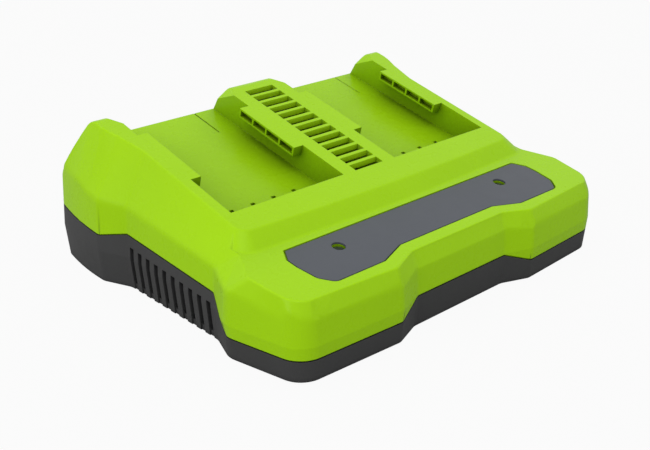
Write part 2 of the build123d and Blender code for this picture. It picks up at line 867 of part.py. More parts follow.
def build_fan_rotor():
    """The cup-shaped hub, its centre boss and the blades."""
    cup = rod(0, fan_y, bearing_base + fan_running_gap, rotor_top, fan_hub_radius)
    cup = cup - rod(0, fan_y, 0, rotor_top - fan_wall, fan_hub_radius - fan_wall)
    cup = cup - rod(0, fan_y, 0, sky, fan_shaft_radius)
    reach = rotor_radius - fan_hub_radius
    height = rotor_top - bearing_base - fan_running_gap - 2 * fan_blade_margin
    chord = height / math.sin(math.radians(fan_blade_angle))
    sweep = rod(0, fan_y, bearing_base + fan_running_gap, rotor_top, rotor_radius)
    sweep = sweep - rod(0, fan_y, 0, sky, fan_hub_radius - fan_wall / 2)
    middle_z = (bearing_base + fan_running_gap + rotor_top) / 2
    paddle = Rot(fan_blade_angle, 0, 0) * Box(reach + fan_wall * 3, chord, fan_blade_thickness)
    paddle = Pos(fan_hub_radius + reach / 2, 0, 0) * paddle
    blades = [Pos(0, fan_y, middle_z) * Rot(0, 0, 360 / fan_blade_count * index) * paddle
              for index in range(fan_blade_count)]
    return cup + [(piece & sweep) for piece in blades]


def build_fan_stator():
    """The wound ring around the bearing tube, with its poles."""
    ring = rod(0, fan_y, stator_base, stator_top, stator_radius)
    gaps = []
    for index in range(stator_poles):
        slot = Pos(stator_radius, 0, 0) * Box(stator_radius, fan_strut_width / 2, sky)
        gaps.append(Pos(0, fan_y, stator_base) * Rot(0, 0, 360 / stator_poles * index) * slot)
    return ring - gaps - rod(0, fan_y, 0, sky, tube_radius)


fan_screw_seat = fan_top - screw_head_height - fit_gap
nodes["fan_frame"] = build_fan_frame()
nodes["fan_bearing"] = (rod(0, fan_y, bearing_base, bearing_top, bearing_radius)
                        - rod(0, fan_y, 0, sky, fan_shaft_radius + fan_bearing_fit))
nodes["fan_stator"] = build_fan_stator()
nodes["fan_rotor"] = build_fan_rotor()
nodes["fan_shaft"] = rod(0, fan_y, bearing_base + fan_running_gap, rotor_top, fan_shaft_radius)
nodes["fan_screws"] = group([screw(x, y, fan_screw_seat, fan_screw_seat - fan_bottom + fan_screw_grip,
                                   False) for x, y in fan_post_places])


# ---------------------------------------------------------------- power electronics
def transformer_core(x, y):
    """A ferrite core: two windows either side of a centre leg."""
    core = block(x - core_width / 2, x + core_width / 2, y - core_depth / 2, y + core_depth / 2,
                 board_top, board_top + core_height)
    windows = []
    for side in sides:
        near = x + side * core_leg / 2
        windows.append(block(near, near + side * window_width, y - core_depth, y + core_depth,
                             board_top + core_yoke, board_top + core_height - core_yoke))
    return core - windows


def transformer_winding(x, y):
    """The taped coil around the centre leg."""
    low, high = board_top + core_yoke + fit_gap, board_top + core_height - core_yoke - fit_gap
    inner_x, inner_y = core_leg / 2 + fit_gap, core_depth / 2 + fit_gap
    build = window_width - 2 * fit_gap
    outer = block(x - inner_x - build, x + inner_x + build, y - inner_y - build, y + inner_y + build,
                  low, high)
    return outer - block(x - inner_x, x + inner_x, y - inner_y, y + inner_y, low, high)


def heat_sink(x, y, side):
    """An upright aluminium plate with fins towards the side vents."""
    plate = block(x, x + side * heatsink_plate, y - heatsink_length / 2, y + heatsink_length / 2,
                  board_top, board_top + heatsink_height)
    pitch = (heatsink_length - heatsink_fin_thickness) / (heatsink_fin_count - 1)
    fins = []
    for index in range(heatsink_fin_count):
        fin_y = y - heatsink_length / 2 + index * pitch
        fins.append(block(x, x + side * (heatsink_plate + heatsink_fin_reach), fin_y,
                          fin_y + heatsink_fin_thickness, board_top, board_top + heatsink_height))
    return plate + fins


def can(x, y, radius, height):
    """An electrolytic capacitor: a can with a crimped groove near its foot."""
    groove_z = board_top + radius / 2
    groove = rod(x, y, groove_z, groove_z + can_groove, radius + overlap)
    groove = groove - rod(x, y, groove_z, groove_z + can_groove, radius - can_groove / 2)
    return rod(x, y, board_top, board_top + height, radius) - groove


transformer_y = board_back_y - transformer_setback
heatsink_x = board_half_width - heatsink_plate - heatsink_fin_reach - board_margin
front_bay_y = (board_front_y + lip_y) / 2
hands = {"left": -1, "right": 1}
for hand, side in hands.items():
    x = side * transformer_offset
    nodes["transformer_core_" + hand] = transformer_core(x, transformer_y)
    nodes["transformer_winding_" + hand] = transformer_winding(x, transformer_y)
    nodes["heatsink_" + hand] = heat_sink(side * heatsink_x, fan_y, side)
    near_x = side * (heatsink_x - transistor_thickness)
    nodes["power_transistors_" + hand] = group([
        block(near_x, side * heatsink_x, fan_y + end * transistor_width - transistor_width / 2 + fit_gap,
              fan_y + end * transistor_width + transistor_width / 2 - fit_gap,
              board_top, board_top + transistor_height)
        for end in sides
    ])
bulk_can_y = board_back_y - bulk_can_radius - can_margin
nodes["bulk_capacitors"] = group([can(side * (bulk_can_radius + can_margin), bulk_can_y,
                                      bulk_can_radius, bulk_can_height) for side in sides])
nodes["output_capacitors"] = group([
    can(side * (board_half_width / 2 - end * (output_can_radius + can_margin)), front_bay_y,
        output_can_radius, output_can_height)
    for side in sides for end in sides
])


def build_choke():
    """A toroidal mains choke on its carrier plate."""
    plate = rod(0, front_bay_y + choke_setback, board_top, board_top + choke_plate, choke_radius)
    ring_z = board_top + choke_plate + choke_wire - choke_sink
    return plate + Pos(0, front_bay_y + choke_setback, ring_z) * Torus(choke_radius - choke_wire, choke_wire)


nodes["mains_filter_choke"] = build_choke()
fuse_y = board_front_y + board_margin + fuse_radius
fuse_z = board_top + fuse_radius + fuse_lift


def across_x(x0, x1, radius):
    """A rod lying along X at the fuse's place."""
    return Pos((x0 + x1) / 2, fuse_y, fuse_z) * Rot(0, 90, 0) * Cylinder(radius, abs(x1 - x0))


nodes["mains_fuse"] = across_x(-fuse_length / 2, fuse_length / 2, fuse_radius)
nodes["fuse_clips"] = group([
    block(side * (fuse_length / 2 - fuse_cap), side * fuse_length / 2, fuse_y - fuse_radius - fuse_lift,
          fuse_y + fuse_radius + fuse_lift, board_top, fuse_z) - nodes["mains_fuse"]
    for side in sides
])
rectifier_y = fan_y - fan_size / 2 - rectifier_gap
nodes["bridge_rectifier"] = block(-rectifier_width / 2, rectifier_width / 2,
                                  rectifier_y - rectifier_thickness, rectifier_y,
                                  board_top, board_top + rectifier_height)
nodes["control_chips"] = group([
    block(side * chip_offset - chip_size / 2, side * chip_offset + chip_size / 2,
          fuse_y - chip_size / 2, fuse_y + chip_size / 2, board_top, board_top + chip_height)
    for side in sides
])


# ---------------------------------------------------------------- mains inlet
def build_inlet():
    """The two-pole appliance inlet in the back wall."""
    half_w, half_h = inlet_width / 2, inlet_height / 2
    outer_y = back_y - inlet_face_setback
    shell = block(inlet_offset - half_w, inlet_offset + half_w, back_y - inlet_depth, outer_y,
                  inlet_z - half_h, inlet_z + half_h)
    lobe_x = half_w - inlet_rim - socket_radius
    socket = [block(inlet_offset - lobe_x, inlet_offset + lobe_x, back_y - inlet_depth + inlet_rim, back_y,
                    inlet_z - socket_radius, inlet_z + socket_radius)]
    for side in sides:
        lobe = Rot(90, 0, 0) * Cylinder(socket_radius, inlet_depth - inlet_rim)
        socket.append(Pos(inlet_offset + side * lobe_x, back_y - (inlet_depth - inlet_rim) / 2, inlet_z) * lobe)
    return shell - socket


def inlet_pin(side):
    """One contact pin standing in the inlet's socket."""
    length = inlet_depth - inlet_rim - inlet_pin_setback
    pin = Rot(90, 0, 0) * Cylinder(inlet_pin_radius, length)
    y = back_y - inlet_depth + inlet_rim + length / 2
    return Pos(inlet_offset + side * inlet_pin_pitch / 2, y, inlet_z) * pin


nodes["mains_inlet"] = build_inlet()
nodes["inlet_pins"] = group([inlet_pin(side) for side in sides])

# ---------------------------------------------------------------- files
os.makedirs("parts", exist_ok=True)
for name, shape in nodes.items():
    export_step(shape, "parts/" + name + ".step")
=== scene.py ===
# %% [markdown]
# # A twin-bay battery charger
#
# The real object is a wedge-shaped housing of green plastic on a black base tray. Two
# sloping bays take slide-in batteries from the back, a louvre strip between them lets a
# fan breathe, and a grey panel with two indicator windows lies on the front ledge.
#
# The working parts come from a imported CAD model. This lesson loads them as a fixed
# frame, gives every part a finish, and rebuilds the visible housing with the soft edges
# that a moulding has.

# %% Load the fixed frame
import json
import math
import bpy
import bmesh
from mathutils import Matrix, Vector


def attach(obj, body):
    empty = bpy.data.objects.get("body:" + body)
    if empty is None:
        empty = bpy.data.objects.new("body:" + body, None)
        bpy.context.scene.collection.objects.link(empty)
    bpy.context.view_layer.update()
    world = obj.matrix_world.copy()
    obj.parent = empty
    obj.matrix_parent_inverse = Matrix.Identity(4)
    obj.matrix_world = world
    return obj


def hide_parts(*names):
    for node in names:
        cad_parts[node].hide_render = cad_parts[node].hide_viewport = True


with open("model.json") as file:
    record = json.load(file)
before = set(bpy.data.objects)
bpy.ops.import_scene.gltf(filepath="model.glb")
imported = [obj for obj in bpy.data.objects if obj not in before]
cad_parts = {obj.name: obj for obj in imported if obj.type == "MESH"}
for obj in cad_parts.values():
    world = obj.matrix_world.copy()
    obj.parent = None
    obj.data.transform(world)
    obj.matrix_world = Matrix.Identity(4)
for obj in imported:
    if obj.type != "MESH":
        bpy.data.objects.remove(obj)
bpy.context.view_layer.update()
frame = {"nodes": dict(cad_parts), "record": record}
parts = frame["nodes"]
MM = 0.001
print("parts in the frame:", len(parts))

# %% [markdown]
# ## Writing shader maths like ordinary maths
#
# A finish is a small network of nodes, and so are the rows of cuts and the surround further
# down. Every node comes from one method, which makes the node's settings first and feeds
# its inputs afterwards. Wiring each Math node by hand would hide the idea, so a number in
# the network is wrapped in a class: adding or multiplying two such numbers adds the Math
# node for it.

# %% A network of nodes
class Network:
    """A node tree that is filled by short calls."""

    def __init__(self, tree):
        self.tree = tree

    def node(self, kind, settings=None, inputs=None):
        """A new node, with its settings made first and its inputs fed afterwards."""
        node = self.tree.nodes.new(kind)
        for key, value in (settings or {}).items():
            setattr(node, key, value)
        for key, value in (inputs or {}).items():
            self.feed(node.inputs[key], value)
        return node

    def feed(self, socket, value):
        """Link a socket to where its value comes from, or give it a plain value."""
        if isinstance(value, Signal):
            value = value.socket
        if isinstance(value, bpy.types.NodeSocket):
            self.tree.links.new(value, socket)
        elif isinstance(value, tuple) and len(value) == 3 and socket.type == "RGBA":
            socket.default_value = (*value, 1.0)
        else:
            socket.default_value = value


# %% A number in a network
class Signal:
    """One number travelling through a network."""

    def __init__(self, network, socket):
        self.network = network
        self.socket = socket

    def maths(self, operation, first, second):
        """The result of a Math node on two numbers."""
        node = self.network.node("ShaderNodeMath", {"operation": operation}, {0: first, 1: second})
        return Signal(self.network, node.outputs[0])

    def __add__(self, other):
        return self.maths("ADD", self, other)

    def __sub__(self, other):
        return self.maths("SUBTRACT", self, other)

    def __rsub__(self, other):
        return self.maths("SUBTRACT", other, self)

    def __mul__(self, other):
        return self.maths("MULTIPLY", self, other)

    __radd__ = __add__
    __rmul__ = __mul__

    def above(self, other):
        """1 where the number is above another one, and 0 elsewhere."""
        return self.maths("GREATER_THAN", self, other)

    def zigzag(self):
        """The number folded up and down between 0 and 1."""
        return self.maths("PINGPONG", self, 1.0)


# %% A finish and the helpers it is written with
class Finish(Network):
    """A material whose network is built from short calls."""

    def __init__(self, name):
        self.material = bpy.data.materials.new(name)
        self.material.use_nodes = True
        super().__init__(self.material.node_tree)
        self.shader = self.tree.nodes["Principled BSDF"]
        self.output = self.tree.nodes["Material Output"]
        self.place = self.node("ShaderNodeTexCoord").outputs["Object"]

    def noise(self, size, detail=2.0, stretch=None):
        """Smooth noise whose features are about as large as size, in metres."""
        place = self.place
        if stretch:
            place = self.node("ShaderNodeMapping", None, {"Vector": place, "Scale": stretch}).outputs[0]
        node = self.node("ShaderNodeTexNoise", None, {"Vector": place, "Scale": 1 / size, "Detail": detail})
        return Signal(self, node.outputs["Fac"])

    def axis(self, letter):
        """The place along one axis, in metres."""
        split = self.node("ShaderNodeSeparateXYZ", None, {0: self.place})
        return Signal(self, split.outputs[letter])

    def blend(self, factor, first, second):
        """A colour between two colours, which a Mix node takes in its inputs 6 and 7."""
        node = self.node("ShaderNodeMix", {"data_type": "RGBA"}, {"Factor": factor, 6: first, 7: second})
        return node.outputs[2]

    def bump(self, height, distance, under=None):
        """Relief that is distance deep, in metres, laid over another normal where one is given."""
        inputs = {"Height": height, "Distance": distance}
        if under:
            inputs["Normal"] = under
        return self.node("ShaderNodeBump", None, inputs).outputs[0]

    def shade(self, **inputs):
        """Feed the shader's inputs, with an underscore for each space in their names."""
        for key, value in inputs.items():
            self.feed(self.shader.inputs[key.replace("_", " ")], value)
        return self.material


# %% [markdown]
# ## Moulded plastic
#
# A moulding is never one flat colour. Its pigment is slightly cloudy, the skin of the
# mould leaves a fine grain, and the gloss wanders a little. All of this comes from noise:
# centimetres for the cloudiness, millimetres for the gloss and for the specks in the
# pigment, and tenths of a millimetre for the grain. Painted shade can also darken the
# colour in recesses and inner corners.

# %% A plastic finish
# The sizes of the noise are in metres, from the largest to the finest.
cloud_size, gloss_size, speckle_size, grain_size = 0.03, 0.006, 0.0011, 0.00035
cloud_share, speckle_share, gloss_swing = 0.8, 0.2, 0.12
# Painted shade: recesses darken to this share of the deeper tone, and a reach over the second number, in
# metres, sees the part alone.
painted_shade_tone, lone_reach, ray_samples = 0.06, 0.01, 4


def moulded(name, deep, light, gloss, grain, specular=0.5, soften=0.00025, painted_shade=0.0, reach=0.05):
    """Plastic between two tones, with its gloss, its grain and slightly softened small edges.

    A shade strength above 0 paints shade into the colour: recesses and inner corners turn
    a deeper tone where ambient occlusion finds them. A long reach looks at the part alone,
    and a short one also at its neighbours, so that the painted shade turns a parting line dark.
    """
    finish = Finish(name)
    cloud = finish.noise(cloud_size, 3.0)
    speckle = finish.noise(speckle_size, 1.0)
    tone = finish.blend(cloud * cloud_share + speckle * speckle_share, deep, light)
    # Painted shade: ambient occlusion darkens the colour in recesses and inner corners.
    if painted_shade:
        settings = {"samples": ray_samples, "only_local": reach > lone_reach}
        sky = finish.node("ShaderNodeAmbientOcclusion", settings, {"Distance": reach})
        shade = (1 - Signal(finish, sky.outputs["AO"])) * painted_shade
        tone = finish.blend(shade, tone, tuple(value * painted_shade_tone for value in deep))
    skin = finish.noise(grain_size)
    soft_edge = finish.node("ShaderNodeBevel", {"samples": ray_samples}, {"Radius": soften}).outputs[0]
    return finish.shade(Base_Color=tone, Roughness=gloss + (finish.noise(gloss_size) - 0.5) * gloss_swing,
                        Specular_IOR_Level=specular, Normal=finish.bump(skin, grain, soft_edge))


# %% The plastics of the charger
# Each row holds the darker and the lighter tone, the roughness and the depth of the grain.
plastics = {
    "green_plastic": ((0.318, 0.600, 0.003), (0.345, 0.640, 0.005), 0.28, 0.000008),
    "grey_panel": ((0.070, 0.077, 0.091), (0.081, 0.088, 0.104), 0.40, 0.000006),
    "black_plastic": ((0.037, 0.037, 0.037), (0.052, 0.052, 0.053), 0.48, 0.000015),
    "insulator": ((0.016, 0.016, 0.018), (0.024, 0.024, 0.026), 0.6, 0.00001),
    "fan_plastic": ((0.022, 0.022, 0.023), (0.034, 0.034, 0.035), 0.5, 0.00001),
    "rubber": ((0.020, 0.020, 0.020), (0.032, 0.032, 0.031), 0.85, 0.00005),
    "ferrite": ((0.055, 0.055, 0.060), (0.095, 0.095, 0.100), 0.6, 0.00003),
    "led_lens": ((0.62, 0.74, 0.64), (0.74, 0.84, 0.75), 0.25, 0.000004),
    "capacitor_sleeve": ((0.025, 0.040, 0.120), (0.040, 0.060, 0.170), 0.3, 0.000006),
    "winding_tape": ((0.700, 0.520, 0.050), (0.860, 0.690, 0.110), 0.35, 0.00001),
}
# Only the outer pieces are seen close enough to need more. The green plastic gets painted shade in its bays,
# louvres and corners, and the black plastic gets a painted shade with a short reach that darkens its parting
# line.
extras = {
    "green_plastic": {"specular": 0.12, "soften": 0.00045, "painted_shade": 0.9},
    "grey_panel": {"specular": 0.3},
    "black_plastic": {"specular": 0.26, "soften": 0.0006, "painted_shade": 0.95, "reach": 0.003},
}
finishes = {name: moulded(name, *row, **extras.get(name, {})) for name, row in plastics.items()}
print("plastics:", len(finishes))

# %% [markdown]
# ## Metals, laminate and glass
#
# Bare metal shows how it was worked: drawn or ground parts carry fine lines along one
# axis, and cast or sintered ones are evenly grained. Stretching the noise along an axis
# gives the lines.

# %% Metal and electrical finishes
# Sizes and depths are in metres, and lanes and turns are counted along a metre.
line_size, line_depth, tarnish_size, haze_size = 0.0003, 0.000008, 0.004, 0.002
track_lanes, lane_above, patch_size, patch_above, track_depth = 210.0, 0.62, 0.009, 0.52, 0.00003
coil_turns, turn_depth = 1600.0, 0.0001


def worked_metal(name, deep, light, gloss, lines=(1.0, 1.0, 0.05)):
    """Metal with fine working lines along its stretched axis."""
    finish = Finish(name)
    streak = finish.noise(line_size, 2.0, lines)
    return finish.shade(Base_Color=finish.blend(finish.noise(tarnish_size), deep, light), Metallic=1.0,
                        Roughness=gloss + streak * 0.15, Normal=finish.bump(streak, line_depth))


def laminate():
    """Circuit board with copper tracks showing through the solder mask."""
    finish = Finish("board_laminate")
    lanes = (finish.axis("X") * track_lanes).zigzag()
    patch = finish.noise(patch_size, 0.0, (1.0, 3.0, 1.0)).above(patch_above)
    track = lanes.above(lane_above) * patch
    tone = finish.blend(track, (0.010, 0.085, 0.030), (0.035, 0.190, 0.060))
    return finish.shade(Base_Color=tone, Roughness=0.35 + track * 0.1,
                        Normal=finish.bump(track, track_depth))


def clear(name, tint, gloss, see_through):
    """Clear plastic or glass."""
    finish = Finish(name)
    haze = finish.noise(haze_size)
    pale = tuple(min(1.0, value * 1.06) for value in tint)
    return finish.shade(Base_Color=finish.blend(haze, tint, pale), Roughness=gloss + haze * 0.05,
                        Transmission_Weight=see_through)


def coil():
    """Lacquered copper wire, wound round the upright axis."""
    finish = Finish("copper_coil")
    turns = (finish.axis("Z") * coil_turns).zigzag()
    tone = finish.blend(turns, (0.32, 0.10, 0.03), (0.62, 0.27, 0.10))
    return finish.shade(Base_Color=tone, Metallic=0.9, Roughness=0.28 + finish.noise(0.001) * 0.1,
                        Normal=finish.bump(turns, turn_depth))


# %% The metals, the laminate and the glass of the charger
# A metal's row holds two tones and the roughness, and the brass has no lines.
metals = {
    "screw_steel": ((0.46, 0.46, 0.47), (0.60, 0.60, 0.61), 0.28),
    "contact_metal": ((0.72, 0.60, 0.36), (0.86, 0.76, 0.50), 0.22),
    "bearing_brass": ((0.55, 0.40, 0.16), (0.70, 0.54, 0.26), 0.4, (1, 1, 1)),
    "shaft_steel": ((0.62, 0.62, 0.64), (0.74, 0.74, 0.76), 0.12),
    "aluminium": ((0.66, 0.67, 0.69), (0.80, 0.81, 0.83), 0.3),
}
# A clear piece's row holds its tint, its roughness and how much light it lets through.
clear_pieces = {
    # The light pipes' clear plastic is tinted dark, a painted shade for the bottom of their deep window
    # bores.
    "clear_plastic": ((0.10, 0.13, 0.10), 0.08, 0.6),
    "fuse_glass": ((0.88, 0.91, 0.92), 0.03, 0.9),
}
finishes.update({name: worked_metal(name, *row) for name, row in metals.items()})
finishes.update({"copper_coil": coil(), "board_laminate": laminate()})
finishes.update({name: clear(name, *row) for name, row in clear_pieces.items()})
print("finishes:", len(finishes))

# %% Give every part its finish
def dress(piece, finish_name):
    """Give a piece one finish and nothing else."""
    piece.data.materials.clear()
    piece.data.materials.append(finishes[finish_name])


for row in frame["record"]["subparts"]:
    dress(parts[row["node"]], row["material_slot"])

# %% [markdown]
# ## The housing's outer form
#
# The green cover is one moulding, and its look comes from long soft edges: a wide one
# round the skirt, finer ones round the front ledge and the deck, and a deep one where the
# deck turns over into the back. The CAD solid has the right planes but sharp edges, and a
# bevel on its small triangles would break. A form drawn by rule is easier. Every place on
# the outline carries a column of points, from the skirt up to the ledge or the deck, and
# each column is rounded where it turns. The columns are then joined into faces.

# %% Planes of the housing, in millimetres and degrees
# The lip is the front end of the bays. The heights of the deck and of the bay floors are given
# there, and the height of the console at the foot of the deck.
lip_y, foot_y, floor_end_y, widest_z = -24.0, -43.7, 69.7, 16.0
deck_lip_z, bay_lip_z, console_foot_z = 49.0, 35.9, 39.4
deck_tilt, bay_tilt, console_tilt, back_tilt = 14.0, 13.0, 8.2, 57.0
upper_draft, lower_draft, chamfer_lean = 3.6, 4.6, 22.0


def rise(degrees):
    """How far a slope climbs over one millimetre."""
    return math.tan(math.radians(degrees))


def deck_height(y, depth=0.0):
    """The deck climbs towards the back; depth goes down from it."""
    return deck_lip_z + rise(deck_tilt) * (y - lip_y) - depth


def console_height(y, depth=0.0):
    """The console carries the panel, in front of the deck."""
    return console_foot_z + rise(console_tilt) * (y - foot_y) - depth


def back_height(y, depth=0.0):
    """The back slopes down from the end of the bay floors."""
    return bay_lip_z + rise(bay_tilt) * (floor_end_y - lip_y) - rise(back_tilt) * (y - floor_end_y) - depth


def lean_in(z):
    """How far the side wall has come in from its widest line."""
    return (z - widest_z) * rise(upper_draft) if z > widest_z else (widest_z - z) * rise(lower_draft)


print("deck at the lip:", round(deck_height(lip_y), 1), "mm")
print("console at the foot of the deck:", round(console_height(foot_y), 1), "mm")

# %% A path with rounded corners
def bend(before, corner, after, radius, pieces):
    """Points round one corner, each with the direction that faces outwards."""
    arriving = (Vector(corner[:2]) - Vector(before[:2])).normalized()
    leaving = (Vector(after[:2]) - Vector(corner[:2])).normalized()
    turn = math.atan2(arriving.cross(leaving), arriving.dot(leaving))
    side = 1.0 if turn > 0 else -1.0
    outward = Vector((arriving.y, -arriving.x))
    start = Vector(corner[:2]) - arriving * radius * math.tan(abs(turn) / 2)
    centre = start - outward * side * radius
    points = []
    for piece in range(pieces + 1):
        angle = turn * piece / pieces
        facing = Vector((outward.x * math.cos(angle) - outward.y * math.sin(angle),
                         outward.x * math.sin(angle) + outward.y * math.cos(angle)))
        points.append((centre + facing * side * radius, facing))
    return points


def path_end(corners, index):
    """The first or last point, which faces straight out where it meets the mirror line."""
    if corners[index][0] == 0:
        return [(Vector(corners[index][:2]), Vector((0.0, -1.0 if index == 0 else 1.0)))]
    near, far = (corners[0], corners[1]) if index == 0 else (corners[index - 1], corners[index])
    along = (Vector(far[:2]) - Vector(near[:2])).normalized()
    return [(Vector(corners[index][:2]), Vector((along.y, -along.x)))]


def edge_path(corners, spans):
    """A path through corners (x, y, radius, pieces), with its straight spans cut in pieces."""
    points = []
    for index, corner in enumerate(corners):
        inside = 0 < index < len(corners) - 1
        if inside:
            run = bend(corners[index - 1], corner, corners[index + 1], *corner[2:])
        else:
            run = path_end(corners, index)
        if points:
            start, facing = points[-1][0], run[0][1]
            steps = spans[index - 1]
            points += [(start.lerp(run[0][0], step / steps), facing) for step in range(1, steps)]
        points += run
    return points


# %% [markdown]
# The paths below are the lines that the eye follows. Each is drawn for the right half
# only, from the middle of the front to where it ends, and is mirrored when the faces are
# made. The outline and the ledge have the same number of points up to the place where the
# ledge dies into the shoulder, and so have the foot and the brow of the raised deck.

# %% Lines round the housing
waist_x, waist_front_y, waist_back_y = 95.5, -33.0, 29.5
belly_x, deck_x, deck_front_y, back_y = 101.4, 82.95, -31.0, 86.0
outline = edge_path([(0, -80.8), (28, -80.8, 6, 4), (41.5, -86, 6, 4), (93.2, -83.3, 12, 10),
                     (100.8, -47, 12, 5), (waist_x, waist_front_y, 6, 4), (waist_x, waist_back_y, 6, 4),
                     (belly_x, 43.5, 8, 4), (belly_x, 61, 150, 8), (96.6, back_y, 9, 8), (0, back_y)],
                    [2, 1, 4, 6, 1, 10, 2, 2, 9, 6])
ledge = edge_path([(0, -77.4), (28.5, -77.4, 6, 4), (42, -82.6, 6, 4), (92.0, -80.0, 10.5, 10),
                   (95.4, -56.5, 5, 5), (88.0, -41.3, 4, 1), (88.2, -34.7)], [2, 1, 4, 6, 1, 1])
foot = edge_path([(0, -46.2), (40, -45.2, 60, 2), (87.2, -43.4, 7.9, 8), (88.2, -34.7)], [3, 4, 1])
brow = edge_path([(0, -38.5), (40, -38.1, 60, 2), (deck_x, -36.6, 5.2, 8), (deck_x, deck_front_y)],
                 [3, 4, 1])
deck_side = edge_path([(deck_x, deck_front_y), (deck_x, waist_back_y, 20, 4), (85.75, 43.5, 20, 4),
                       (88.55, 52.25, 12, 1), (88.55, 57.9)], [12, 2, 1, 1])
# The ledge ends at point meet of the outline, and the front corner at point corner_end.
meet = len(ledge) - 1
corner_end = 25
print("outline points:", len(outline), "ledge:", len(ledge))
print("foot of the deck:", len(foot), "side of the deck:", len(deck_side))

# %% The shoulder between the deck and the skirt
# Each station is: place along the side, deck or ledge edge, and the shoulder's lower line.
# The one far in front is a copy of the first, so that every place lies between two stations.
shoulder_lines = [(-74, 92.8, 94.7, 25.6), (-62, 94.6, 97.5, 26.2), (-55.8, 94.9, 98.9, 28.2),
                  (-49, 93.0, 99.5, 30.2), (-41, 88.8, 97.5, 31.3), (waist_front_y, 83, waist_x, 32.5),
                  (waist_back_y, 83, waist_x, 36.2), (43.5, 85.8, belly_x, 37.5),
                  (52.25, 88.6, belly_x, 37.5), (61, 88.6, belly_x, 38.5), (106, 86.2, 93.7, 40)]
console_end_y, far_front_y = -40, -120
shoulder = [(y, top_x, console_height(y) if y < console_end_y else deck_height(y), low_x, low_z)
            for y, top_x, low_x, low_z in shoulder_lines]
shoulder.insert(0, (far_front_y, *shoulder[0][1:]))


def shoulder_x(y, z, depth):
    """How far out the sloping shoulder stands at a place along the side."""
    near, far = next(pair for pair in zip(shoulder, shoulder[1:]) if y <= pair[1][0])
    part = (y - near[0]) / (far[0] - near[0])
    top_x, top_z, low_x, low_z = (a + (b - a) * part for a, b in zip(near[1:], far[1:]))
    return top_x + (low_x - top_x) * (top_z - z) / (top_z - low_z) - depth


def wall_point(place, facing, z, depth):
    """A point of the skirt above or below a place on the outline."""
    spot = place - facing * (lean_in(z) + depth)
    return Vector((spot.x, spot.y, z))


def crossing(low, high, outside, halvings=40):
    """The height at which a test turns from inside to outside, found by halving."""
    for _ in range(halvings):
        middle = (low + high) / 2
        low, high = (low, middle) if outside(middle) else (middle, high)
    return low


# %% The crease at the top of the skirt
# The crease is looked for below these heights, and a shoulder or a back only past these places.
front_ceiling, rear_ceiling, shoulder_from_x, back_from_y = 38, 60, 92.5, 60


def crease_height(index, depth):
    """Where the skirt meets the chamfer, the shoulder or the back, and whether it is the back."""
    place, facing = outline[index]

    def past_chamfer(z):
        edge = ledge[index][0]
        chamfer_top = Vector((*edge, console_height(edge.y, depth)))
        reach = (wall_point(place, facing, z, depth).xy - chamfer_top.xy).dot(facing)
        return reach > rise(chamfer_lean) * (chamfer_top.z - z)

    def past_shoulder(z):
        spot = wall_point(place, facing, z, depth)
        return spot.x > shoulder_x(spot.y, z, depth)

    def past_back(z):
        return z > back_height(wall_point(place, facing, z, depth).y, depth)

    if index <= corner_end:
        height = crossing(widest_z, front_ceiling, past_chamfer)
        if place.x > shoulder_from_x:
            height = min(height, crossing(widest_z, front_ceiling, past_shoulder))
        return height, False
    height = crossing(widest_z, rear_ceiling, past_shoulder)
    back = crossing(widest_z, rear_ceiling, past_back) if place.y > back_from_y else height + 1
    return min(height, back), back <= height


# %% The deck's edge, over the crest and down to the skirt
# On the back, the edge stops edge_gap in front of the crease.
crest_radius, crest_pieces, edge_gap = 5.0, 5, 3.2


def crest_points(depth):
    """Points on the round where the deck turns over into the back."""
    turn = deck_tilt + back_tilt
    drop = back_height(floor_end_y) - deck_height(floor_end_y)
    crest_y = floor_end_y + drop / (rise(deck_tilt) + rise(back_tilt))
    reach = crest_radius * math.tan(math.radians(turn / 2))
    lean = math.radians(deck_tilt)
    centre = Vector((0.0, crest_y - reach * math.cos(lean) + crest_radius * math.sin(lean),
                     deck_height(crest_y) - reach * math.sin(lean) - crest_radius * math.cos(lean) - depth))
    angles = [lean - math.radians(turn) * piece / crest_pieces for piece in range(1, crest_pieces + 1)]
    return [centre + Vector((0.0, -math.sin(angle), math.cos(angle))) * crest_radius for angle in angles]


def upper_edge(depth, lowest, count):
    """The edge between the shoulder and the deck, then the back, as count points."""
    places = [Vector((*place, deck_height(place.y, depth))) for place, _ in deck_side]
    places += [Vector((shoulder_x(spot.y, spot.z, depth), spot.y, spot.z)) for spot in crest_points(depth)]
    start, end, left = places[-1].y, lowest.y - edge_gap, count - len(places)
    for step in range(1, left + 1):
        y = start + (end - start) * step / left
        z = back_height(y, depth)
        places.append(Vector((shoulder_x(y, z, depth), y, z)))
    return places


# %% Round the corners of a column
arc_steps, fade_steps = 5, 4


def rounded(corner, lower, upper, cut):
    """A soft corner: points on a curve that touches both directions."""
    start = corner + (lower - corner).normalized() * cut
    end = corner + (upper - corner).normalized() * cut
    shares = [step / arc_steps for step in range(arc_steps + 1)]
    return [start * (1 - t) ** 2 + corner * 2 * t * (1 - t) + end * t ** 2 for t in shares]


def fading(index, last):
    """1 along an edge, falling to 0 just before its last point."""
    return max(0.0, min(1.0, (last - index - 1) / fade_steps))


# %% All columns of the right half
# A cut says how far a rounding reaches from its corner, and aim how far off a direction is read.
crease_cut, ledge_cut, brow_cut, foot_cut, back_cut = 1.8, 0.7, 0.8, 1.2, 1.2
aim, widest_share, column_foot_z = 5.0, 0.42, -0.5


